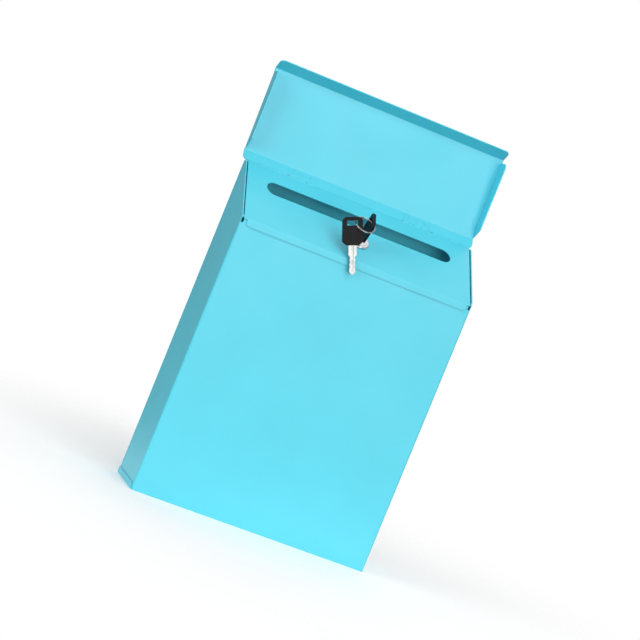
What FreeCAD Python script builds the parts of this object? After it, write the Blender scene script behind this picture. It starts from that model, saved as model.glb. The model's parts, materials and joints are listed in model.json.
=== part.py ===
import FreeCAD, Part
import math
import os

# Wall-mount locking drop box in folded sheet steel: a box body with a sloping slot door, a flip-up rain lid,
# a cam lock with its key, and a spare key on a split ring. Millimetres, +Z up, +X to the right, front at -Y.
# The origin is the middle of the underside.

# ---- box body -------------------------------------------------------------------------------------------
body_width = 240.0
body_depth = 74.0
front_height = 273.2          # corner where the door's slope meets its front lip
back_height = 322.8           # corner where the door's slope meets its rear return
sheet = 1.0                   # steel thickness of every folded panel
fold_inside = 1.0             # inside radius of the folds
rear_return = 12.0            # side walls' return flanges behind which the back panel is welded
tray_flange = 5.0             # bottom tray's flanges, outside the side walls
tray_flange_setback = 4.0     # from the front face to the flange's rounded end
tray_upstand = 10.0           # bottom tray's flanges against the front and back
relief_width = 2.4            # corner relief at the top of each front fold
relief_height = 4.0
wall_hole_radius = 3.0
wall_hole_spacing_x = 160.0
wall_hole_spacing_z = 200.0
wall_hole_bottom = 60.0
crest_round = 2.0             # where a side's slope meets its level top
tray_flange_front_round = 4.0
tray_flange_rear_round = 1.0
upstand_end_gap = 2.0         # from the tray's upstands to the folds beside them

# ---- slot door ------------------------------------------------------------------------------------------
door_side_gap = 1.3           # between the door and each side wall
wall_stands_proud = 0.5       # side walls rise this much above the door's face
door_seat_gap = 0.2           # between the front panel's top edge and the door resting over it
lip_gap = 0.2                 # between the front panel and the door's lip
lip_length = 6.5
lip_inset = 6.0               # lip's end to the side wall's outer face
lip_corner = 4.0
lip_trim_start = 0.4          # the lip's ends are trimmed from this far below the door's front corner
door_return = 13.0
door_bend_inside = 0.5        # the sharp bends at the door's top and front
slot_length = 194.0
slot_width = 17.5
slot_up_slope = 57.4          # slot's middle, measured up the slope from the front corner
lock_up_slope = 29.0
full_round = 0.999            # an end rounded by this share of its half width has no corner left

# ---- hinges ---------------------------------------------------------------------------------------------
barrel_radius = 1.6
leaf_thickness = 0.7
pin_radius = 0.8
pin_clearance = 0.05
knuckle_gap = 0.3
knuckle_count = 3
leaf_length = 27.0
leaf_width = 11.0
cut_past = 2.0                # how far a drill or a cutter runs past the piece that it cuts
pin_head_radius = 1.2
pin_head_height = 0.5
door_hinge_x = 92.0
lid_hinge_x = 61.0
lid_leaf_over_door = 0.4      # between the closed lid's hinge leaf and the door's top bend

# ---- rain lid -------------------------------------------------------------------------------------------
lid_open_angle = 129.0        # from closed to its stop; the parts are made with the lid open
lid_stop_gap = 0.1
lid_strip_start = 1.5         # rear edge of the hinge strip, in front of the hinge axis
lid_strip_end = 13.0
lid_panel_length = 83.0
lid_lip_length = 14.5
lid_lip_corner = 5.0
lid_side_gap = 1.4            # between the lid's side flanges and the side walls
lid_flange_near = 13.0
lid_flange_far = 17.0
lid_flange_start = 2.0        # from the strip's bend to the root of the flange's diagonal end
lid_flange_slant = 9.0
lid_flange_end_gap = 4.0      # from the flange's far end to the lip's bend
lid_flange_corner = 6.0
lid_flange_near_corner = 3.0
lid_flange_root = 1.5         # the flange's depth at its start
lid_fold_outside = 1.5        # outside radius of the folds to the side flanges

# ---- cam lock -------------------------------------------------------------------------------------------
face_radius = 9.6
face_height = 2.2
face_fillet = 0.9
barrel_lock_radius = 8.4
barrel_lock_flat = 7.2        # half the distance across the barrel's two flats
barrel_lock_length = 22.0
lock_hole_clearance = 0.15
plug_radius = 6.0
plug_clearance = 0.05
plug_head_radius = 6.9
plug_head_height = 1.0
plug_stands_proud = 0.3
nut_across_flats = 22.0
nut_height = 3.5
stud_radius = 3.2
stud_flat = 2.4
stud_length = 7.0
cam_thickness = 1.5
cam_width = 12.0
cam_reach = 34.0
cam_plug_gap = 0.1
cam_fit = 0.05
cam_tip_round = 0.6           # corner radius of the cam's tip, as a share of its half width
cam_washer_radius = 5.0
cam_washer_height = 0.8
cam_nut_across_flats = 10.0
cam_nut_height = 2.5
strike_gap = 0.4
strike_thickness = 1.2
strike_width = 36.0
strike_overlap = 9.0          # how far the strike's shelf reaches over the cam's tip
strike_leg = 16.0

# ---- keys -----------------------------------------------------------------------------------------------
key_head_width = 20.0
key_head_length = 26.5
key_head_thickness = 2.6
key_head_corner = 4.5
key_neck_width = 12.0
key_slot_length = 12.0
key_slot_width = 4.5
key_slot_from_end = 3.4
key_slot_corner = 1.0
key_shoulder = 3.2            # height at which the head reaches its full width
key_shoulder_corner = 2.0
key_neck_corner = 1.0
key_recess_below_slot = 3.0
key_recess_depth = 0.3
key_recess_width = 11.0
key_recess_length = 10.0
blade_thickness = 2.0
blade_width = 8.4
blade_cut_width = 6.2
blade_uncut = 9.0
blade_length = 27.0
blade_in_head = 5.2           # the tang ends below the recesses in the faces
blade_groove_width = 1.6
blade_groove_depth = 0.45
blade_groove_tip_gap = 3.0    # from the blade's tip to the end of its groove
blade_groove_start = 0.6      # from the head to the start of the groove
blade_point_length = 2.4
blade_point_half = 1.1
blade_bit_count = 6
blade_bit_depth = 0.7         # every other bit is cut this much deeper
blade_last_bit_gap = 3.0      # from the blade's tip to the end of its bitting
key_head_above_face = 3.6     # the inserted key's head above the lock's face
keyway_clearance = 0.15

# ---- split ring -----------------------------------------------------------------------------------------
ring_radius = 10.0            # to the middle of the wire
ring_wire_radius = 0.65
ring_side_angle = 45.0        # the ring's middle lies this far round from down-slope towards -X
ring_rise_angle = 1.0         # and its far side rises by this much above the level of the key's slot
spare_ring_angle = 31.0       # where the spare key hangs, round the ring from its far side
spare_slot_offset = 3.3       # the wire stands this far along the spare key's slot from its middle
spare_lean_right = 20.2       # degrees that the spare key's blade points to +X
spare_off_normal = 41.2       # degrees between the spare key and the door's normal, seen from the side
spare_turn = 6.4              # degrees that the spare key's face looks to +X
spare_wire_rise = 0.1         # the wire crosses the spare key's slot this far above its middle

# ---- derived places -------------------------------------------------------------------------------------
X_AXIS = FreeCAD.Vector(1, 0, 0)
Z_AXIS = FreeCAD.Vector(0, 0, 1)
half_width = body_width / 2
front_y = -body_depth / 2
back_y = body_depth / 2
axis_y = back_y - sheet - barrel_radius
door_back_y = axis_y - barrel_radius
door_front_y = front_y - lip_gap - sheet
slope = math.atan2(back_height - front_height, door_back_y - door_front_y)
bend_outside = door_bend_inside + sheet
door_top = back_height - bend_outside * (math.tan(slope) + 1 / math.cos(slope) - 1)
axis_z = door_top + lid_leaf_over_door - (barrel_radius - leaf_thickness)
hinge_axis = FreeCAD.Vector(0, axis_y, axis_z)
open_radians = math.radians(lid_open_angle)
leaf_line_z = barrel_radius * (1 - math.sin(open_radians)) / math.cos(open_radians)
panel_top = axis_z + leaf_line_z - lid_stop_gap
along_slope = FreeCAD.Vector(0, math.cos(slope), math.sin(slope))
door_normal = FreeCAD.Vector(0, -math.sin(slope), math.cos(slope))
door_corner = FreeCAD.Vector(0, door_front_y, front_height)
lock_centre = door_corner + along_slope * lock_up_slope
inner_half = half_width - sheet


def save(shape, node):
    shape.exportStep("parts/" + node + ".step")


def yz(y, z, x=0.0):
    return FreeCAD.Vector(x, y, z)


def rounded_wire(points, radii):
    """Closed wire through the points, with each corner rounded by its radius (0 leaves it sharp)."""
    edges = []
    starts = []
    ends = []
    middles = []
    count = len(points)
    for index in range(count):
        corner = points[index]
        radius = radii[index]
        before = points[index - 1] - corner
        after = points[(index + 1) % count] - corner
        before.normalize()
        after.normalize()
        if radius <= 0:
            starts.append(corner)
            ends.append(corner)
            middles.append(None)
            continue
        half_angle = before.getAngle(after) / 2
        tangent = radius / math.tan(half_angle)
        bisector = before + after
        bisector.normalize()
        centre = corner + bisector * (radius / math.sin(half_angle))
        starts.append(corner + before * tangent)
        ends.append(corner + after * tangent)
        middles.append(centre - bisector * radius)
    for index in range(count):
        if middles[index] is not None:
            edges.append(Part.Arc(starts[index], middles[index], ends[index]).toShape())
        following = starts[(index + 1) % count]
        if ends[index].distanceToPoint(following) > 1e-6:
            edges.append(Part.LineSegment(ends[index], following).toShape())
    return Part.Wire(edges)


def prism(points, radii, length):
    """Solid from a closed outline of points, pushed along the vector length."""
    return Part.Face(rounded_wire(points, radii)).extrude(length)


def sheet_strip(path, thickness, inside_radius, to_point, length):
    """Folded sheet: path is its outer line in 2-D, the sheet lies on the path's left."""
    count = len(path)
    inner = []
    for index in range(count):
        here = path[index]
        if index == 0:
            turn = _direction(here, path[1])
            normal = (-turn[1], turn[0])
            inner.append((here[0] + normal[0] * thickness, here[1] + normal[1] * thickness))
            continue
        if index == count - 1:
            turn = _direction(path[index - 1], here)
            normal = (-turn[1], turn[0])
            inner.append((here[0] + normal[0] * thickness, here[1] + normal[1] * thickness))
            continue
        first = _direction(path[index - 1], here)
        second = _direction(here, path[index + 1])
        mitre = (-first[1] - second[1], first[0] + second[0])
        size = math.hypot(mitre[0], mitre[1])
        mitre = (mitre[0] / size, mitre[1] / size)
        reach = thickness / (mitre[0] * -first[1] + mitre[1] * first[0])
        inner.append((here[0] + mitre[0] * reach, here[1] + mitre[1] * reach))
    outer_radii = [0.0] + _fold_radii(path, thickness, inside_radius, True) + [0.0]
    inner_radii = [0.0] + _fold_radii(path, thickness, inside_radius, False) + [0.0]
    points = [to_point(p) for p in path] + [to_point(p) for p in reversed(inner)]
    return prism(points, outer_radii + list(reversed(inner_radii)), length)


def _direction(start, end):
    size = math.hypot(end[0] - start[0], end[1] - start[1])
    return ((end[0] - start[0]) / size, (end[1] - start[1]) / size)


def _fold_radii(path, thickness, inside_radius, on_path):
    """Radius at each fold for the path's own line, or for the line on the sheet's other face."""
    radii = []
    for index in range(1, len(path) - 1):
        first = _direction(path[index - 1], path[index])
        second = _direction(path[index], path[index + 1])
        folds_left = first[0] * second[1] - first[1] * second[0] > 0
        outside = folds_left == on_path
        radii.append(inside_radius + thickness if outside else inside_radius)
    return radii


def box(x0, x1, y0, y1, z0, z1):
    return Part.makeBox(x1 - x0, y1 - y0, z1 - z0, FreeCAD.Vector(x0, y0, z0))


def place(shape, origin, x_to, y_to, z_to):
    """Moves a shape from its own axes to an origin with the given x, y and z directions."""
    matrix = FreeCAD.Matrix(
        x_to.x, y_to.x, z_to.x, origin.x,
        x_to.y, y_to.y, z_to.y, origin.y,
        x_to.z, y_to.z, z_to.z, origin.z,
        0, 0, 0, 1)
    moved = shape.copy()
    moved.Placement = FreeCAD.Placement(matrix).multiply(shape.Placement)
    return moved


def on_lock(shape):
    """From lock axes (z out of the door, y up the slope) to the model."""
    return place(shape, lock_centre, X_AXIS, along_slope, door_normal)


def door_plane_z(y, below=0.0):
    """Height of the door's face over a depth y, or of a plane that far below it."""
    return front_height + (y - door_front_y) * math.tan(slope) - below / math.cos(slope)


# ---- box body -------------------------------------------------------------------------------------------
def make_body_wrap():
    """Front, both sides and the rear returns, folded from one sheet, standing on the bottom tray."""
    return_y = back_y - sheet
    outline = [
        (half_width - rear_return, return_y),
        (half_width, return_y),
        (half_width, front_y),
        (-half_width, front_y),
        (-half_width, return_y),
        (-half_width + rear_return, return_y),
    ]
    outline.reverse()
    wrap = sheet_strip(outline, sheet, fold_inside, lambda p: FreeCAD.Vector(p[0], p[1], sheet),
                       Z_AXIS * (back_height + sheet))
    far = back_height + 4 * sheet
    crest = door_plane_z(front_y, -wall_stands_proud)
    top_y = front_y + (panel_top - crest) / math.tan(slope)
    above = [
        yz(front_y - sheet, door_plane_z(front_y - sheet, -wall_stands_proud), -half_width - sheet),
        yz(top_y, panel_top, -half_width - sheet),
        yz(back_y + sheet, panel_top, -half_width - sheet),
        yz(back_y + sheet, far, -half_width - sheet),
        yz(front_y - sheet, far, -half_width - sheet),
    ]
    wrap = wrap.cut(prism(above, [0.0, crest_round, 0.0, 0.0, 0.0], X_AXIS * (body_width + 2 * sheet)))
    front_top = door_plane_z(front_y, sheet + door_seat_gap)
    relief_x = half_width - sheet - fold_inside
    wrap = wrap.cut(box(-relief_x, relief_x, front_y - sheet, front_y + 2 * sheet, front_top, far))
    for side in (-1, 1):
        slot = box(relief_x - relief_width / 2, relief_x + relief_width / 2, front_y - sheet,
                   front_y + 2 * sheet, front_top - relief_height, front_top + sheet)
        wrap = wrap.cut(slot.mirror(FreeCAD.Vector(0, 0, 0), X_AXIS) if side < 0 else slot)
    return wrap


def make_back_panel():
    """Full plate across the back, with four round holes for wall screws."""
    panel = box(-half_width, half_width, back_y - sheet, back_y, sheet, panel_top)
    for x in (-wall_hole_spacing_x / 2, wall_hole_spacing_x / 2):
        for z in (wall_hole_bottom, wall_hole_bottom + wall_hole_spacing_z):
            panel = panel.cut(Part.makeCylinder(wall_hole_radius, 3 * sheet,
                                                FreeCAD.Vector(x, back_y - 2 * sheet, z),
                                                FreeCAD.Vector(0, 1, 0)))
    return panel


def make_bottom_tray():
    """Floor with low flanges outside the side walls and upstands inside the front and the back."""
    outer = half_width + sheet
    flange_front = front_y + tray_flange_setback
    floor_plate = box(-outer, outer, flange_front, back_y, 0, sheet)
    tongue = box(-half_width, half_width, front_y, back_y, 0, sheet)
    tray = floor_plate.fuse(tongue)
    for side in (-1, 1):
        x = half_width if side > 0 else -outer
        corners = [yz(flange_front, 0, x), yz(back_y, 0, x), yz(back_y, sheet + tray_flange, x),
                   yz(flange_front, sheet + tray_flange, x)]
        tray = tray.fuse(prism(corners, [0.0, 0.0, tray_flange_rear_round, tray_flange_front_round],
                               X_AXIS * sheet))
    upstand_half = inner_half - fold_inside - upstand_end_gap
    tray = tray.fuse(box(-upstand_half, upstand_half, front_y + sheet, front_y + 2 * sheet, 0, tray_upstand))
    rear_half = half_width - rear_return - upstand_end_gap
    tray = tray.fuse(box(-rear_half, rear_half, back_y - 2 * sheet, back_y - sheet, 0, tray_upstand))
    return tray.removeSplitter()


def make_strike_bracket():
    """Angle inside the front: its shelf, parallel to the door, stands just above the locked cam's tip."""
    wall_y = front_y + sheet
    depth = barrel_lock_length + cam_plug_gap - strike_gap - strike_thickness
    shelf_end = lock_centre - along_slope * (cam_reach - strike_overlap) - door_normal * depth
    run = (shelf_end.y - wall_y) / math.cos(slope)
    foot_z = shelf_end.z - run * math.sin(slope)
    path = [
        (wall_y, foot_z - strike_leg),
        (wall_y, foot_z),
        (shelf_end.y, shelf_end.z),
    ]
    return sheet_strip(list(reversed(path)), strike_thickness, fold_inside,
                       lambda p: yz(p[0], p[1], -strike_width / 2), X_AXIS * strike_width)


# ---- slot door ------------------------------------------------------------------------------------------
def make_slot_door():
    """Sloping top with the slot and the lock hole, a lip over the front and a return at the back."""
    path = [
        (door_back_y, back_height - door_return),
        (door_back_y, back_height),
        (door_front_y, front_height),
        (door_front_y, front_height - lip_length),
    ]
    door_half = inner_half - door_side_gap
    lip_half = half_width - lip_inset
    door = sheet_strip(path, sheet, door_bend_inside, lambda p: yz(p[0], p[1], -door_half),
                       X_AXIS * (2 * door_half))
    low = front_height - lip_length
    for side in (-1, 1):
        trim = box(lip_half, door_half + sheet, door_front_y - sheet, front_y + sheet,
                   low - sheet, front_height - lip_trim_start)
        corner = box(lip_half - lip_corner, lip_half + sheet, door_front_y - sheet, front_y + sheet,
                     low - sheet, low + lip_corner)
        middle = FreeCAD.Vector(lip_half - lip_corner, door_front_y - sheet * 1.5, low + lip_corner)
        corner = corner.cut(Part.makeCylinder(lip_corner, 4 * sheet, middle, FreeCAD.Vector(0, 1, 0)))
        for tool in (trim, corner):
            door = door.cut(tool.mirror(FreeCAD.Vector(0, 0, 0), X_AXIS) if side < 0 else tool)
    reach = slot_length / 2 - slot_width / 2
    half = slot_width / 2
    outline = [
        FreeCAD.Vector(-reach - half, -half, 0), FreeCAD.Vector(reach + half, -half, 0),
        FreeCAD.Vector(reach + half, half, 0), FreeCAD.Vector(-reach - half, half, 0),
    ]
    opening = prism(outline, [half * full_round] * 4, Z_AXIS * (4 * sheet))
    opening.translate(FreeCAD.Vector(0, slot_up_slope - lock_up_slope, -3 * sheet))
    door = door.cut(on_lock(opening))
    hole = double_d(barrel_lock_radius + lock_hole_clearance, barrel_lock_flat + lock_hole_clearance,
                    -3 * sheet, sheet)
    return door.cut(on_lock(hole))


def double_d(radius, flat, z0, z1):
    """Round bar with two flats facing +X and -X."""
    bar = Part.makeCylinder(radius, z1 - z0, FreeCAD.Vector(0, 0, z0))
    return bar.common(box(-flat, flat, -2 * radius, 2 * radius, z0, z1))


def hexagon(across_flats, z0, z1):
    corner = across_flats / math.sqrt(3)
    points = [FreeCAD.Vector(corner * math.cos(math.radians(60 * i)), corner * math.sin(math.radians(60 * i)),
                             z0) for i in range(6)]
    return prism(points, [0.0] * 6, Z_AXIS * (z1 - z0))


# ---- hinges ---------------------------------------------------------------------------------------------
def knuckle_spans(middle_x):
    """X ranges of the knuckles, in turn, with the gaps between them taken off."""
    pitch = leaf_length / knuckle_count
    start = middle_x - leaf_length / 2
    spans = []
    for index in range(knuckle_count):
        low = start + index * pitch + (knuckle_gap / 2 if index > 0 else 0)
        high = start + (index + 1) * pitch - (knuckle_gap / 2 if index < knuckle_count - 1 else 0)
        spans.append((low, high))
    return spans


def make_leaf(middle_x, outer_knuckles, along, out):
    """Hinge leaf that runs from the axis in the direction along, on the side that out points to."""
    spans = knuckle_spans(middle_x)
    mine = [span for index, span in enumerate(spans) if (index % 2 == 0) == outer_knuckles]
    others = [span for span in spans if span not in mine]

    def plate(x0, x1, s0, s1, n0, n1):
        corners = [(s0, n0), (s1, n0), (s1, n1), (s0, n1)]
        points = [hinge_axis + along * s + out * n + X_AXIS * x0 for s, n in corners]
        return prism(points, [0.0] * 4, X_AXIS * (x1 - x0))

    low = barrel_radius - leaf_thickness
    leaf = plate(middle_x - leaf_length / 2, middle_x + leaf_length / 2, 0, leaf_width, low, barrel_radius)
    for x0, x1 in mine:
        leaf = leaf.fuse(Part.makeCylinder(barrel_radius, x1 - x0, hinge_axis + X_AXIS * x0, X_AXIS))
    for x0, x1 in others:
        leaf = leaf.cut(plate(x0 - knuckle_gap, x1 + knuckle_gap, -2 * barrel_radius,
                              barrel_radius + knuckle_gap, -2 * barrel_radius, 2 * barrel_radius))
    bore = Part.makeCylinder(pin_radius + pin_clearance, leaf_length + 2 * cut_past,
                             hinge_axis + X_AXIS * (middle_x - leaf_length / 2 - cut_past), X_AXIS)
    return leaf.cut(bore).removeSplitter()


def make_pin(middle_x):
    """Hinge pin with a small peened head at each end."""
    start = middle_x - leaf_length / 2
    pin = Part.makeCylinder(pin_radius, leaf_length, hinge_axis + X_AXIS * start, X_AXIS)
    for x in (start - pin_head_height, start + leaf_length):
        pin = pin.fuse(Part.makeCylinder(pin_head_radius, pin_head_height, hinge_axis + X_AXIS * x, X_AXIS))
    return pin.removeSplitter()


def opened(shape):
    """Swings a piece of the lid from closed to its open stop."""
    turned = shape.copy()
    turned.rotate(hinge_axis, X_AXIS, -lid_open_angle)
    return turned


# ---- rain lid -------------------------------------------------------------------------------------------
def make_rain_lid():
    """Hinge strip, main panel, front lip and side flanges, drawn closed and then swung open."""
    top_z = axis_z + barrel_radius + sheet
    strip_y = axis_y - lid_strip_end
    far_y = strip_y - lid_panel_length * math.cos(slope)
    far_z = top_z - lid_panel_length * math.sin(slope)
    lid_half = half_width + lid_side_gap + sheet
    path = [
        (axis_y - lid_strip_start, top_z),
        (strip_y, top_z),
        (far_y, far_z),
        (far_y, far_z - lid_lip_length),
    ]
    lid = sheet_strip(path, sheet, fold_inside, lambda p: yz(p[0], p[1], -lid_half), X_AXIS * (2 * lid_half))
    for side in (-1, 1):
        corner_x = lid_half - lid_lip_corner
        low = far_z - lid_lip_length
        corner = box(corner_x, lid_half + sheet, far_y - sheet, far_y + 2 * sheet, low - sheet,
                     low + lid_lip_corner)
        middle = FreeCAD.Vector(corner_x, far_y - 2 * sheet, low + lid_lip_corner)
        corner = corner.cut(Part.makeCylinder(lid_lip_corner, 5 * sheet, middle, FreeCAD.Vector(0, 1, 0)))
        rear = box(corner_x, lid_half + sheet, axis_y - lid_strip_start - lid_lip_corner,
                   axis_y, top_z - 2 * sheet, top_z + sheet)
        middle = FreeCAD.Vector(corner_x, axis_y - lid_strip_start - lid_lip_corner, top_z - 3 * sheet)
        rear = rear.cut(Part.makeCylinder(lid_lip_corner, 5 * sheet, middle))
        for tool in (corner, rear):
            lid = lid.cut(tool.mirror(FreeCAD.Vector(0, 0, 0), X_AXIS) if side < 0 else tool)
    down_slope = along_slope * -1
    root = yz(strip_y, top_z)
    start = lid_flange_start
    end = lid_panel_length - lid_flange_end_gap

    def on_flange(along, depth, x):
        return root + down_slope * along - door_normal * depth + X_AXIS * x

    for x in (-lid_half, lid_half - sheet):
        outline = [
            on_flange(start, 0.0, x),
            on_flange(end, 0.0, x),
            on_flange(end, lid_flange_far, x),
            on_flange(start + lid_flange_slant, lid_flange_near, x),
            on_flange(start, lid_flange_root, x),
        ]
        radii = [0.0, 0.0, lid_flange_corner, lid_flange_near_corner, 0.0]
        lid = lid.fuse(prism(outline, radii, X_AXIS * sheet))
    lid = lid.removeSplitter()
    round_off = lid_fold_outside
    for side in (-1, 1):
        edge = root + down_slope * start + X_AXIS * (side * lid_half)
        middle = edge - X_AXIS * (side * round_off) - door_normal * round_off
        out = X_AXIS * side
        corners = [edge + (out + door_normal) * sheet, edge - out * round_off + door_normal * sheet, middle,
                   edge - door_normal * round_off + out * sheet]
        tool = prism(corners, [0.0] * 4, down_slope * (end - start))
        tool = tool.cut(Part.makeCylinder(round_off, end - start, middle, down_slope))
        lid = lid.cut(tool)
    return opened(lid)


# ---- cam lock -------------------------------------------------------------------------------------------
def make_lock_housing():
    """Chrome face and a barrel with two flats, through the door, bored for the plug."""
    face = Part.makeCylinder(face_radius, face_height)
    face = face.makeFillet(face_fillet, [edge for edge in face.Edges
                                         if abs(edge.CenterOfMass.z - face_height) < 1e-3
                                         and len(edge.Vertexes) == 1])
    housing = face.fuse(double_d(barrel_lock_radius, barrel_lock_flat, -barrel_lock_length, 0))
    bore = Part.makeCylinder(plug_radius + plug_clearance, barrel_lock_length + face_height + 2 * cut_past,
                             FreeCAD.Vector(0, 0, -barrel_lock_length - cut_past))
    seat = Part.makeCylinder(plug_head_radius + plug_clearance, face_height,
                             FreeCAD.Vector(0, 0, face_height - plug_head_height))
    return on_lock(housing.cut(bore).cut(seat))


def make_lock_nut():
    nut = hexagon(nut_across_flats, -sheet - nut_height, -sheet)
    return on_lock(nut.cut(Part.makeCylinder(barrel_lock_radius, 4 * nut_height,
                                             FreeCAD.Vector(0, 0, -sheet - 2 * nut_height))))


def make_lock_plug():
    """Turning plug: head in the housing's face, body in the bore, and a flatted stud for the cam."""
    plug = Part.makeCylinder(plug_radius, barrel_lock_length + face_height - plug_head_height,
                             FreeCAD.Vector(0, 0, -barrel_lock_length))
    head = Part.makeCylinder(plug_head_radius, plug_head_height + plug_stands_proud,
                             FreeCAD.Vector(0, 0, face_height - plug_head_height))
    stud = double_d(stud_radius, stud_flat, -barrel_lock_length - stud_length, -barrel_lock_length)
    plug = plug.fuse(head).fuse(stud)
    half_slot = blade_width / 2 + keyway_clearance
    half_gap = blade_thickness / 2 + keyway_clearance
    tip = face_height + key_head_above_face - blade_length - 2 * keyway_clearance
    keyway = box(-half_gap, half_gap, -half_slot, half_slot, tip, face_height + cut_past)
    return on_lock(plug.cut(keyway).removeSplitter())


def make_cam():
    """Flat cam on the plug's stud. It lies along +X unlocked and turns down the slope to lock."""
    top = -barrel_lock_length - cam_plug_gap
    half = cam_width / 2
    points = [FreeCAD.Vector(-half, -half, top), FreeCAD.Vector(cam_reach, -half, top),
              FreeCAD.Vector(cam_reach, half, top), FreeCAD.Vector(-half, half, top)]
    radii = [half * full_round, half * cam_tip_round, half * cam_tip_round, half * full_round]
    cam = prism(points, radii, Z_AXIS * -cam_thickness)
    hole = double_d(stud_radius + cam_fit, stud_flat + cam_fit, top - 2 * cam_thickness, top + cam_thickness)
    return on_lock(cam.cut(hole))


def make_cam_washer():
    top = -barrel_lock_length - cam_plug_gap - cam_thickness
    bottom = FreeCAD.Vector(0, 0, top - cam_washer_height)
    disc = Part.makeCylinder(cam_washer_radius, cam_washer_height, bottom)
    return on_lock(disc.cut(Part.makeCylinder(stud_radius + cam_fit, 3 * cam_washer_height,
                                              FreeCAD.Vector(0, 0, top - 2 * cam_washer_height))))


def make_cam_nut():
    top = -barrel_lock_length - cam_plug_gap - cam_thickness - cam_washer_height
    nut = hexagon(cam_nut_across_flats, top - cam_nut_height, top)
    return on_lock(nut.cut(Part.makeCylinder(stud_radius, 3 * cam_nut_height,
                                             FreeCAD.Vector(0, 0, top - 2 * cam_nut_height))))


# ---- keys -----------------------------------------------------------------------------------------------
# A key is drawn with its face along Y and Z, x across its thickness, its blade pointing to -Z and z = 0 at
# the underside of its head.
def make_key_blade():
    """Double-bitted blade with a tang in the head, a groove down each face and cuts on both edges."""
    half = blade_width / 2
    cut = blade_cut_width / 2
    step = blade_width - blade_cut_width
    bits = [(cut, blade_uncut + step / 2)]
    pitch = (blade_length - blade_uncut - step - blade_last_bit_gap) / blade_bit_count
    for index in range(blade_bit_count):
        depth = cut if index % 2 else cut - blade_bit_depth
        bits.append((depth, blade_uncut + step / 2 + pitch * (index + 0.75)))
    bits.append((cut, blade_length - blade_point_length))
    bits.append((blade_point_half, blade_length))
    right = [(half, -blade_in_head), (half, blade_uncut)] + bits
    outline = [FreeCAD.Vector(-blade_thickness / 2, y, -z) for y, z in right]
    outline += [FreeCAD.Vector(-blade_thickness / 2, -y, -z) for y, z in reversed(right)]
    blade = prism(outline, [0.0] * len(outline), X_AXIS * blade_thickness)
    for x in (-blade_thickness / 2, blade_thickness / 2 - blade_groove_depth):
        blade = blade.cut(box(x, x + blade_groove_depth, -blade_groove_width / 2, blade_groove_width / 2,
                              -blade_length + blade_groove_tip_gap, -blade_groove_start))
    return blade


def make_key_head():
    """Moulded head with a slot for the ring near its end and a shallow blank panel on each face."""
    half = key_head_width / 2
    neck = key_neck_width / 2
    x = -key_head_thickness / 2
    outline = [FreeCAD.Vector(x, -neck, 0), FreeCAD.Vector(x, neck, 0), FreeCAD.Vector(x, half, key_shoulder),
               FreeCAD.Vector(x, half, key_head_length), FreeCAD.Vector(x, -half, key_head_length),
               FreeCAD.Vector(x, -half, key_shoulder)]
    radii = [key_neck_corner, key_neck_corner, key_shoulder_corner, key_head_corner, key_head_corner,
             key_shoulder_corner]
    head = prism(outline, radii, X_AXIS * key_head_thickness)
    slot_z = key_head_length - key_slot_from_end - key_slot_width
    slot_half = key_slot_length / 2
    slot = [FreeCAD.Vector(x - 1, -slot_half, slot_z), FreeCAD.Vector(x - 1, slot_half, slot_z),
            FreeCAD.Vector(x - 1, slot_half, slot_z + key_slot_width),
            FreeCAD.Vector(x - 1, -slot_half, slot_z + key_slot_width)]
    head = head.cut(prism(slot, [key_slot_corner] * 4, X_AXIS * (key_head_thickness + 2)))
    panel_z = slot_z - key_recess_below_slot - key_recess_length
    for side in (x, -x - key_recess_depth):
        head = head.cut(box(side, side + key_recess_depth, -key_recess_width / 2, key_recess_width / 2,
                            panel_z, panel_z + key_recess_length))
    return head.cut(box(-blade_thickness / 2, blade_thickness / 2, -blade_width / 2, blade_width / 2,
                        -1, blade_in_head))


def in_lock(shape):
    return on_lock(shape.translated(Z_AXIS * (face_height + key_head_above_face)))


slot_middle = key_head_length - key_slot_from_end - key_slot_width / 2
ring_level = face_height + key_head_above_face + slot_middle
side_angle = math.radians(ring_side_angle)
rise_angle = math.radians(ring_rise_angle)
ring_entry = lock_centre + door_normal * ring_level
ring_level_way = X_AXIS * -math.sin(side_angle) - along_slope * math.cos(side_angle)
ring_outward = ring_level_way * math.cos(rise_angle) + door_normal * math.sin(rise_angle)
ring_across = ring_level_way.cross(door_normal)
ring_across.normalize()
ring_normal = ring_outward.cross(ring_across)
ring_centre = ring_entry + ring_outward * ring_radius


def make_split_ring():
    """Ring of round wire through the inserted key's slot."""
    return Part.makeTorus(ring_radius, ring_wire_radius, ring_centre, ring_normal)


def spare_frame():
    """Origin and directions of the spare key: across its thickness, across its width, and up its length."""
    round_angle = math.radians(spare_ring_angle)
    hang = (ring_centre + ring_outward * (ring_radius * math.cos(round_angle))
            + ring_across * (ring_radius * math.sin(round_angle)))
    lean_right = math.radians(spare_lean_right)
    off_normal = math.radians(spare_off_normal)
    turn = math.radians(spare_turn)
    side_up = along_slope * math.sin(off_normal) + door_normal * math.cos(off_normal)
    side_face = door_normal * math.sin(off_normal) - along_slope * math.cos(off_normal)
    up = side_up - X_AXIS * math.tan(lean_right)
    up.normalize()
    face = X_AXIS * math.sin(turn) + side_face * math.cos(turn)
    across = up.cross(face)
    across.normalize()
    thick = across.cross(up)
    origin = hang - up * (slot_middle + spare_wire_rise) - across * spare_slot_offset
    return origin, thick, across, up


def on_spare(shape):
    origin, thick, across, up = spare_frame()
    return place(shape, origin, thick, across, up)


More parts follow.
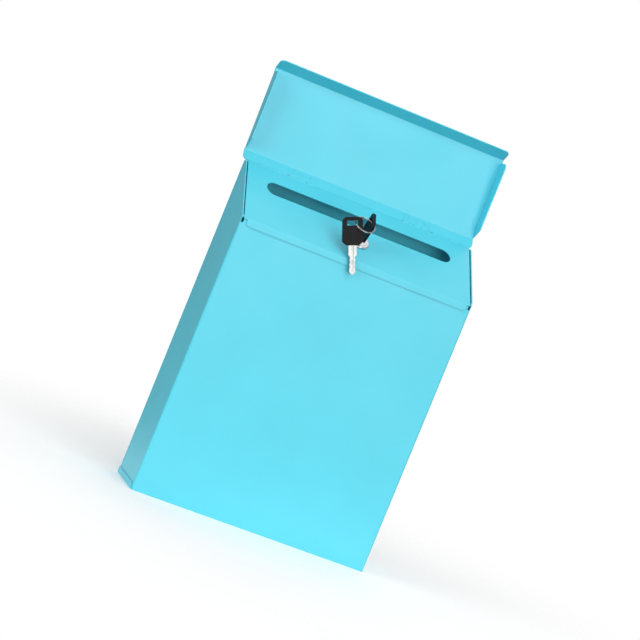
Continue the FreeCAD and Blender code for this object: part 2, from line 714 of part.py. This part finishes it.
# ---- write every node -----------------------------------------------------------------------------------
down = Z_AXIS * -1
rearward = FreeCAD.Vector(0, 1, 0)
forward = FreeCAD.Vector(0, -1, 0)
os.makedirs("parts", exist_ok=True)
save(make_body_wrap(), "body_wrap")
save(make_back_panel(), "back_panel")
save(make_bottom_tray(), "bottom_tray")
save(make_strike_bracket(), "strike_bracket")
save(make_slot_door(), "slot_door")
save(make_rain_lid(), "rain_lid")
for name, side in (("left", -1), ("right", 1)):
    door_x = side * door_hinge_x
    lid_x = side * lid_hinge_x
    save(make_leaf(door_x, True, down, rearward), "door_hinge_body_leaf_" + name)
    save(make_leaf(door_x, False, down, forward), "door_hinge_door_leaf_" + name)
    save(make_pin(door_x), "door_hinge_pin_" + name)
    save(make_leaf(lid_x, True, down, rearward), "lid_hinge_body_leaf_" + name)
    save(opened(make_leaf(lid_x, False, forward, Z_AXIS)), "lid_hinge_lid_leaf_" + name)
    save(make_pin(lid_x), "lid_hinge_pin_" + name)
save(make_lock_housing(), "lock_housing")
save(make_lock_nut(), "lock_nut")
save(make_lock_plug(), "lock_plug")
save(make_cam(), "lock_cam")
save(make_cam_washer(), "cam_washer")
save(make_cam_nut(), "cam_nut")
save(in_lock(make_key_blade()), "key_blade")
save(in_lock(make_key_head()), "key_head")
save(make_split_ring(), "split_ring")
save(on_spare(make_key_blade()), "spare_key_blade")
save(on_spare(make_key_head()), "spare_key_head")
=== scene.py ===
import json
import math
import bpy
import bmesh
from mathutils import Matrix, Vector


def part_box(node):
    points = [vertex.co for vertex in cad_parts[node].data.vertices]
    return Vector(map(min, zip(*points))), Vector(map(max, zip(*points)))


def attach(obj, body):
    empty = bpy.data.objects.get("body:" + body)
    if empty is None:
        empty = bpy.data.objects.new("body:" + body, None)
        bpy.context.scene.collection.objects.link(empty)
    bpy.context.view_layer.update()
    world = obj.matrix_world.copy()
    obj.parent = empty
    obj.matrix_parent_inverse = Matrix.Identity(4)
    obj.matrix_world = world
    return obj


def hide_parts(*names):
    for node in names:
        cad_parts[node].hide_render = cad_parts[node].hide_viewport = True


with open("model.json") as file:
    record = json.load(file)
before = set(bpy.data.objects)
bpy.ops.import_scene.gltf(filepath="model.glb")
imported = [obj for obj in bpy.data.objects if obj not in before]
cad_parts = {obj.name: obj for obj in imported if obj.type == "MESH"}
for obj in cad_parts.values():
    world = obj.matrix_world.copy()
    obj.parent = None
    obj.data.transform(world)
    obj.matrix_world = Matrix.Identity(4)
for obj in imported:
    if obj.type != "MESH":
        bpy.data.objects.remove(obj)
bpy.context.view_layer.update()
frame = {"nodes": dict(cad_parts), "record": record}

# Small turquoise wall drop box with its rain lid open, a key in the lock and a spare on a split ring.
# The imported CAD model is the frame: metres, +Z up, front at -Y.

nodes = frame["nodes"]
record = frame["record"]
joints = {joint["name"]: joint for joint in record["behaviour"]["joints"]}
MM = 0.001

# ---- measures -------------------------------------------------------------------------------------------
FLAT_ANGLE = 0.6              # degrees; flatter than this, the mesh's triangles are joined
EDGE_ANGLE = 38.0             # degrees; sharper than this, an edge is rounded
EDGE_SEGMENTS = 2
NORMAL_WEIGHT = 80
SHEET_EDGE = 0.22 * MM        # rounding of the powder-coated sheet edges
SMALL_EDGE = 0.12 * MM        # rounding of the small metal pieces' edges
HEAD_EDGE = 0.28 * MM         # rounding of the moulded key heads
WELD_RADIUS = 0.8 * MM
WELD_HEIGHT = 0.07 * MM
WELD_SINK = 0.02 * MM         # a weld mark's rim starts this far inside the sheet
WELD_RINGS = 4
WELD_SIDES = 20
LEAF_ROW = 7.5 * MM           # from the hinge line to a leaf's row of welds
LEAF_WELDS = 3
SEAM_WELDS = 6                # on each side of the back panel
SEAM_INSET = 6.5 * MM         # from the back panel's side edge to its row of welds
SEAM_LOW = 22 * MM            # from the back panel's lower edge to the lowest weld
SEAM_SPARE = 50 * MM          # the panel's height less the row's height
LEAF_TURN = -129.0            # degrees; the open lid's leaves, from where they lie when closed
LEAF_FACE = 0.9 * MM          # a closed leaf's outer face below the hinge axis
RING_TURN_WIDTH = 0.50 * MM   # one turn of the split ring's wire, across the ring's thickness
RING_WIRE_WIDTH = 0.82 * MM   # and along its radius
RING_WIRE_CORNER = 0.22 * MM
RING_TURN_GAP = 0.01 * MM     # half the gap between the two turns
RING_TURNS = 2.0
RING_START = 205              # degrees around the ring, where the wire begins
RING_STEPS = 220
RING_STEP_OVER = 0.44         # share of the wire after which it steps over to its second turn
RING_STEP_LENGTH = 0.12
RING_TIP = 0.35               # thickness of the wire's tips
RING_TIP_GROWTH = 12
PAINT = (0.075, 0.58, 0.72)
PAINT_ROUGHNESS = (0.36, 0.46)
PAINT_SPECULAR = 0.5
PAINT_COAT = 0.25
THIN_COAT_GLOSS = 0.2
THIN_COAT_ROUGHER = 0.16      # what the roughness gains as the gloss goes to nothing
WHITE = (1.0, 1.0, 1.0)
FLOOR_RADIUS = 0.9
FLOOR_ROWS = (0.2, 0.4, 0.65, FLOOR_RADIUS)
FLOOR_SIDES = 96
FLOOR_FADE_START = 0.06
FLOOR_FADE_END = 0.55
FLOOR_GLOW = 0.14
WORLD_LIGHT = 0.26
LIT_MIDDLE = (0.0, 0.0, 0.2)
LENS = 159.8                  # millimetres, on a 36 mm wide sensor
CAMERA_AT = (-0.7486, -2.5715, 0.4097)
CAMERA_RIGHT = (0.89699, -0.23052, 0.37718)
CAMERA_UP = (-0.34381, 0.17249, 0.92306)


# ---- node helpers ---------------------------------------------------------------------------------------
def new_material(name):
    material = bpy.data.materials.new(name)
    material.use_nodes = True
    tree = material.node_tree
    tree.nodes.clear()
    output = tree.nodes.new("ShaderNodeOutputMaterial")
    shader = tree.nodes.new("ShaderNodeBsdfPrincipled")
    tree.links.new(shader.outputs["BSDF"], output.inputs["Surface"])
    return material, tree, shader


def noise(tree, scale, detail=4.0, stretch=(1.0, 1.0, 1.0), rough=0.5):
    """Noise over the object's own metre coordinates, stretched along the axes."""
    where = tree.nodes.new("ShaderNodeTexCoord")
    mapping = tree.nodes.new("ShaderNodeMapping")
    mapping.inputs["Scale"].default_value = stretch
    pattern = tree.nodes.new("ShaderNodeTexNoise")
    pattern.inputs["Scale"].default_value = scale
    pattern.inputs["Detail"].default_value = detail
    pattern.inputs["Roughness"].default_value = rough
    tree.links.new(where.outputs["Object"], mapping.inputs["Vector"])
    tree.links.new(mapping.outputs["Vector"], pattern.inputs["Vector"])
    return pattern.outputs["Fac"]


def ramp(tree, value, stops):
    """Colour ramp over a value; stops are (position, colour)."""
    node = tree.nodes.new("ShaderNodeValToRGB")
    elements = node.color_ramp.elements
    while len(elements) < len(stops):
        elements.new(0.5)
    for element, (position, colour) in zip(elements, stops):
        element.position = position
        element.color = (*colour, 1.0)
    tree.links.new(value, node.inputs["Fac"])
    return node.outputs["Color"]


def spread(tree, value, low, high):
    """Maps the middle of a noise's range to low..high."""
    node = tree.nodes.new("ShaderNodeMapRange")
    node.inputs["From Min"].default_value = 0.3
    node.inputs["From Max"].default_value = 0.7
    node.inputs["To Min"].default_value = low
    node.inputs["To Max"].default_value = high
    tree.links.new(value, node.inputs["Value"])
    return node.outputs["Result"]


def bump(tree, heights):
    """Chain of bumps; heights are (value, distance in metres, strength)."""
    normal = None
    for value, distance, strength in heights:
        node = tree.nodes.new("ShaderNodeBump")
        node.inputs["Distance"].default_value = distance
        node.inputs["Strength"].default_value = strength
        tree.links.new(value, node.inputs["Height"])
        if normal is not None:
            tree.links.new(normal, node.inputs["Normal"])
        normal = node.outputs["Normal"]
    return normal


def tint(colour, factor, shift=0.0):
    return tuple(min(1.0, max(0.0, channel * factor + shift)) for channel in colour)


# ---- materials ------------------------------------------------------------------------------------------
def powder_coat(name, colour, gloss=1.0):
    """Smooth semi-gloss powder coat: slow tone drift, fine orange peel and a few dust nibs.
    A gloss below 1 gives the thin, duller coat of the back panel."""
    material, tree, shader = new_material(name)
    drift = noise(tree, 14.0, 3.0)
    deep = tint(colour, 0.965)
    pale = tint(colour, 1.02, 0.004)
    base = ramp(tree, drift, [(0.30, deep), (0.52, colour), (0.72, pale)])
    fine = noise(tree, 420.0, 3.0)
    speck = ramp(tree, fine, [(0.0, (0.985, 0.985, 0.985)), (0.5, WHITE), (1.0, WHITE)])
    mix = tree.nodes.new("ShaderNodeMix")
    mix.data_type = "RGBA"
    mix.blend_type = "MULTIPLY"
    mix.inputs["Factor"].default_value = 1.0
    tree.links.new(base, mix.inputs["A"])
    tree.links.new(speck, mix.inputs["B"])
    tree.links.new(mix.outputs["Result"], shader.inputs["Base Color"])
    handled = noise(tree, 30.0, 5.0, (1.0, 1.0, 0.6))
    low, high = (rough + THIN_COAT_ROUGHER * (1.0 - gloss) for rough in PAINT_ROUGHNESS)
    tree.links.new(spread(tree, handled, low, high), shader.inputs["Roughness"])
    peel = noise(tree, 620.0, 2.0)
    nibs = noise(tree, 1900.0, 2.0)
    tree.links.new(bump(tree, [(peel, 0.00006, 0.35), (nibs, 0.00002, 0.2)]), shader.inputs["Normal"])
    shader.inputs["Specular IOR Level"].default_value = PAINT_SPECULAR * gloss
    shader.inputs["Coat Weight"].default_value = PAINT_COAT * gloss
    shader.inputs["Coat Roughness"].default_value = 0.22
    return material


def metal(name, colour, rough, stretch, scale=900.0, scratch=0.25):
    """Bare or plated metal with directional brushing and uneven roughness."""
    material, tree, shader = new_material(name)
    grain = noise(tree, scale, 5.0, stretch, 0.6)
    stain = noise(tree, 120.0, 4.0)
    base = ramp(tree, stain, [(0.28, tint(colour, 0.86)), (0.5, colour), (0.75, tint(colour, 1.06))])
    tree.links.new(base, shader.inputs["Base Color"])
    tree.links.new(spread(tree, grain, rough * 0.7, rough * 1.5), shader.inputs["Roughness"])
    tree.links.new(bump(tree, [(grain, 0.00002, scratch)]), shader.inputs["Normal"])
    shader.inputs["Metallic"].default_value = 1.0
    return material


def moulded_plastic(name, colour):
    """Black moulded plastic with a fine spark texture and handling polish."""
    material, tree, shader = new_material(name)
    grain = noise(tree, 2600.0, 4.0, rough=0.7)
    polish = noise(tree, 160.0, 4.0)
    worn = tint(colour, 1.35, 0.002)
    rubbed = tint(colour, 1.9, 0.004)
    base = ramp(tree, polish, [(0.3, colour), (0.6, worn), (0.85, rubbed)])
    tree.links.new(base, shader.inputs["Base Color"])
    tree.links.new(spread(tree, polish, 0.40, 0.56), shader.inputs["Roughness"])
    tree.links.new(bump(tree, [(grain, 0.00004, 0.35)]), shader.inputs["Normal"])
    shader.inputs["Specular IOR Level"].default_value = 0.14
    return material


paint = powder_coat("turquoise_powder_coat", PAINT)
thin_paint = powder_coat("turquoise_thin_coat", PAINT, THIN_COAT_GLOSS)
zinc = metal("bright_zinc", (0.60, 0.61, 0.63), 0.28, (1.0, 1.0, 1.0))
chrome = metal("chrome_plate", (0.55, 0.55, 0.57), 0.10, (1.0, 1.0, 1.0), 500.0, 0.10)
nickel = metal("nickel_key_blank", (0.44, 0.435, 0.425), 0.30, (1.0, 1.0, 0.12), 1600.0, 0.30)
wire = metal("ring_spring_steel", (0.42, 0.41, 0.40), 0.17, (0.4, 0.4, 1.0), 1200.0, 0.20)
black = moulded_plastic("black_key_plastic", (0.005, 0.005, 0.006))
by_slot = {
    "turquoise_paint": paint, "zinc_steel": zinc, "chrome_plate": chrome,
    "nickel_key": nickel, "black_plastic": black, "ring_steel": wire,
}
slot_of = {part["node"]: part["material_slot"] for part in record["subparts"]}


# ---- carried CAD nodes ----------------------------------------------------------------------------------
def soften(obj, width):
    """Joins the mesh, clears its flat triangles and rounds its sharp edges, all by modifiers."""
    weld = obj.modifiers.new("join", "WELD")
    weld.merge_threshold = 1e-6
    flat = obj.modifiers.new("flats", "DECIMATE")
    flat.decimate_type = "DISSOLVE"
    flat.angle_limit = math.radians(FLAT_ANGLE)
    rounding = obj.modifiers.new("edges", "BEVEL")
    rounding.width = width
    rounding.segments = EDGE_SEGMENTS
    rounding.limit_method = "ANGLE"
    rounding.angle_limit = math.radians(EDGE_ANGLE)
    rounding.harden_normals = True
    rounding.use_clamp_overlap = True
    even = obj.modifiers.new("normals", "WEIGHTED_NORMAL")
    even.keep_sharp = True
    even.weight = NORMAL_WEIGHT


def shade(mesh):
    mesh.polygons.foreach_set("use_smooth", [True] * len(mesh.polygons))


edge_of = {"turquoise_paint": SHEET_EDGE, "black_plastic": HEAD_EDGE}
for name, obj in nodes.items():
    material = thin_paint if name == "back_panel" else by_slot[slot_of[name]]
    for index in range(len(obj.material_slots)):
        obj.material_slots[index].material = material
    if name != "split_ring":
        small = "hinge" in name
        soften(obj, SMALL_EDGE if small else edge_of.get(slot_of[name], SMALL_EDGE))


# ---- pieces made here -----------------------------------------------------------------------------------
def add_piece(name, mesh, body, material):
    obj = bpy.data.objects.new(name, mesh)
    bpy.context.scene.collection.objects.link(obj)
    mesh.materials.append(material)
    shade(mesh)
    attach(obj, body)
    return obj


def frame_on(normal):
    """Two directions square to a normal that isn't vertical."""
    side = normal.cross(Vector((0.0, 0.0, 1.0)))
    side.normalize()
    return side, normal.cross(side)


def skin(shape, rows):
    """Joins each closed row of points to the next with four-sided faces."""
    for row, following in zip(rows, rows[1:]):
        count = len(row)
        for k in range(count):
            shape.faces.new((row[k], row[(k + 1) % count], following[(k + 1) % count], following[k]))


def finished_mesh(name, shape):
    """Mesh of a finished shape, its faces all turned outward."""
    bmesh.ops.recalc_face_normals(shape, faces=shape.faces)
    mesh = bpy.data.meshes.new(name)
    shape.to_mesh(mesh)
    shape.free()
    return mesh


def weld_marks(name, spots, body):
    """Shallow spot-weld domes, each on (point, outward normal), as one coated piece."""
    shape = bmesh.new()
    for point, normal in spots:
        side, other = frame_on(normal)
        rows = []
        for ring in range(WELD_RINGS):
            part = ring / WELD_RINGS
            radius = WELD_RADIUS * (1.0 - part)
            height = WELD_HEIGHT * math.sin(part * math.pi / 2) - WELD_SINK * (ring == 0)
            row = []
            for k in range(WELD_SIDES):
                turn = 2 * math.pi * k / WELD_SIDES
                row.append(shape.verts.new(point + side * (radius * math.cos(turn))
                                           + other * (radius * math.sin(turn)) + normal * height))
            rows.append(row)
        top = shape.verts.new(point + normal * WELD_HEIGHT)
        skin(shape, rows)
        for k in range(WELD_SIDES):
            shape.faces.new((rows[-1][k], rows[-1][(k + 1) % WELD_SIDES], top))
        shape.faces.new(list(reversed(rows[0])))
    add_piece(name, finished_mesh(name, shape), body, paint)


hinge_at = Vector(joints["door_open"]["pos_m"])
turn_open = Matrix.Rotation(math.radians(LEAF_TURN), 3, "X")


def leaf_spots(kind, along, out):
    """Weld points on the outer faces of a pair of leaves, in a row along each."""
    spots = []
    for side in ("left", "right"):
        low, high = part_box(kind + side)
        for index in range(LEAF_WELDS):
            x = low.x + (high.x - low.x) * (index + 0.5) / LEAF_WELDS
            point = Vector((x, hinge_at.y, hinge_at.z)) + along * LEAF_ROW + out * LEAF_FACE
            spots.append((point, out))
    return spots


def turned(vector):
    return turn_open @ Vector(vector)


weld_marks("lid_hinge_weld_marks",
           leaf_spots("lid_hinge_lid_leaf_", turned((0, -1, 0)), turned((0, 0, -1))), "lid")
weld_marks("door_hinge_weld_marks",
           leaf_spots("door_hinge_door_leaf_", Vector((0, 0, -1)), Vector((0, 1, 0))), "door")


def seam_spots():
    """Spot welds that hold the back panel to the rear returns."""
    spots = []
    low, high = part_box("back_panel")
    for side in (-1, 1):
        for index in range(SEAM_WELDS):
            z = low.z + SEAM_LOW + (high.z - low.z - SEAM_SPARE) * index / (SEAM_WELDS - 1)
            spots.append((Vector((side * (high.x - SEAM_INSET), high.y, z)), Vector((0, 1, 0))))
    return spots


weld_marks("back_seam_weld_marks", seam_spots(), "box")


def ring_coil():
    """Split ring: a flat-sided wire wound twice, its two turns side by side with tapered ends."""
    low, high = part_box("split_ring")
    hang = Vector(joints["spare_swing"]["pos_m"])
    centre = (low + high) / 2
    tangent = Vector(joints["spare_swing"]["axis"]).normalized()
    outward = (hang - centre).normalized()
    normal = outward.cross(tangent).normalized()
    radius = (hang - centre).length
    across = normal.cross(outward)
    shape = bmesh.new()
    rows = []
    corner = RING_WIRE_CORNER
    half_w = RING_TURN_WIDTH / 2
    half_r = RING_WIRE_WIDTH / 2
    outline = []
    for sx, sy, begin in ((1, 1, 0), (-1, 1, 90), (-1, -1, 180), (1, -1, 270)):
        for k in range(4):
            angle = math.radians(begin + 30 * k)
            outline.append((sx * (half_w - corner) + corner * math.cos(angle),
                            sy * (half_r - corner) + corner * math.sin(angle)))
    for step in range(RING_STEPS + 1):
        part = step / RING_STEPS
        angle = math.radians(RING_START) + part * RING_TURNS * 2 * math.pi
        # The wire keeps to one layer for a turn, then steps over to the other.
        blend = min(1.0, max(0.0, (part - RING_STEP_OVER) / RING_STEP_LENGTH))
        blend = blend * blend * (3 - 2 * blend)
        shift = (blend * 2 - 1) * (half_w + RING_TURN_GAP)
        taper = min(1.0, RING_TIP + RING_TIP_GROWTH * min(part, 1 - part))
        direction = outward * math.cos(angle) + across * math.sin(angle)
        middle = centre + direction * radius + normal * shift
        rows.append([shape.verts.new(middle + normal * (x * taper) + direction * (y * taper))
                     for x, y in outline])
    skin(shape, rows)
    shape.faces.new(list(reversed(rows[0])))
    shape.faces.new(rows[-1])
    obj = add_piece("split_ring_coil", finished_mesh("split_ring_coil", shape), "ring", wire)
    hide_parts("split_ring")


ring_coil()


# ---- floor, light and camera ----------------------------------------------------------------------------
def make_floor():
    """Pale round studio floor that fades into the white surroundings at its rim."""
    shape = bmesh.new()
    around = FLOOR_SIDES
    rows = []
    for radius in FLOOR_ROWS:
        rows.append([shape.verts.new((radius * math.cos(2 * math.pi * k / around),
                                      radius * math.sin(2 * math.pi * k / around), 0.0))
                     for k in range(around)])
    middle = shape.verts.new((0.0, 0.0, 0.0))
    for k in range(around):
        shape.faces.new((middle, rows[0][k], rows[0][(k + 1) % around]))
    for row, following in zip(rows, rows[1:]):
        for k in range(around):
            shape.faces.new((row[k], following[k], following[(k + 1) % around], row[(k + 1) % around]))
    mesh = bpy.data.meshes.new("studio_floor")
    shape.to_mesh(mesh)
    shape.free()
    shade(mesh)
    floor = bpy.data.objects.new("studio_floor", mesh)
    bpy.context.scene.collection.objects.link(floor)
    material, tree, shader = new_material("pale_floor")
    tone = noise(tree, 1.5, 2.0)
    tree.links.new(ramp(tree, tone, [(0.3, (0.86, 0.86, 0.86)), (0.7, (0.89, 0.89, 0.89))]),
                   shader.inputs["Base Color"])
    shader.inputs["Roughness"].default_value = 0.9
    shader.inputs["Specular IOR Level"].default_value = 0.1
    shader.inputs["Emission Color"].default_value = (1.0, 1.0, 1.0, 1.0)
    shader.inputs["Emission Strength"].default_value = FLOOR_GLOW
    where = tree.nodes.new("ShaderNodeTexCoord")
    distance = tree.nodes.new("ShaderNodeVectorMath")
    distance.operation = "LENGTH"
    tree.links.new(where.outputs["Object"], distance.inputs[0])
    fade = tree.nodes.new("ShaderNodeMapRange")
    fade.interpolation_type = "SMOOTHSTEP"
    fade.inputs["From Min"].default_value = FLOOR_FADE_START
    fade.inputs["From Max"].default_value = FLOOR_FADE_END
    fade.inputs["To Min"].default_value = 1.0
    fade.inputs["To Max"].default_value = 0.0
    tree.links.new(distance.outputs["Value"], fade.inputs["Value"])
    tree.links.new(fade.outputs["Result"], shader.inputs["Alpha"])
    mesh.materials.append(material)


def add_area(name, place, width, height, power):
    """Rectangular white softbox that looks at the box's middle."""
    light = bpy.data.lights.new(name, "AREA")
    light.shape = "RECTANGLE"
    light.size = width
    light.size_y = height
    light.energy = power
    obj = bpy.data.objects.new(name, light)
    bpy.context.scene.collection.objects.link(obj)
    obj.location = place
    obj.rotation_euler = (Vector(LIT_MIDDLE) - Vector(place)).to_track_quat("-Z", "Y").to_euler()


make_floor()
add_area("front_softbox", (0.85, -3.1, 0.62), 2.6, 1.7, 38.0)
add_area("high_softbox", (0.1, -2.3, 2.5), 2.6, 2.0, 48.0)
add_area("overhead_softbox", (0.7, 0.75, 2.7), 1.8, 1.6, 10.0)
add_area("left_softbox", (-2.6, -1.2, 0.9), 1.8, 1.6, 42.0)
add_area("right_softbox", (2.6, -0.9, 1.0), 1.8, 1.6, 12.0)
add_area("back_softbox", (0.8, 3.0, 1.6), 2.4, 1.6, 26.0)

world = bpy.data.worlds.new("studio")
bpy.context.scene.world = world
world.use_nodes = True
background = world.node_tree.nodes["Background"]
background.inputs["Color"].default_value = (1.0, 1.0, 1.0, 1.0)
rays = world.node_tree.nodes.new("ShaderNodeLightPath")
level = world.node_tree.nodes.new("ShaderNodeMapRange")
level.inputs["To Min"].default_value = WORLD_LIGHT
level.inputs["To Max"].default_value = 1.0
world.node_tree.links.new(rays.outputs["Is Camera Ray"], level.inputs["Value"])
world.node_tree.links.new(level.outputs["Result"], background.inputs["Strength"])

camera_data = bpy.data.cameras.new("camera")
camera_data.lens = LENS
camera_data.sensor_width = 36.0
camera_data.clip_start = 0.05
camera_data.clip_end = 60.0
camera = bpy.data.objects.new("camera", camera_data)
bpy.context.scene.collection.objects.link(camera)
right = Vector(CAMERA_RIGHT)
upward = Vector(CAMERA_UP)
backward = right.cross(upward)
turn = Matrix((right, upward, backward)).transposed().to_4x4()
camera.matrix_world = Matrix.Translation(CAMERA_AT) @ turn
bpy.context.scene.camera = camera
bpy.context.scene.view_settings.view_transform = "Standard"
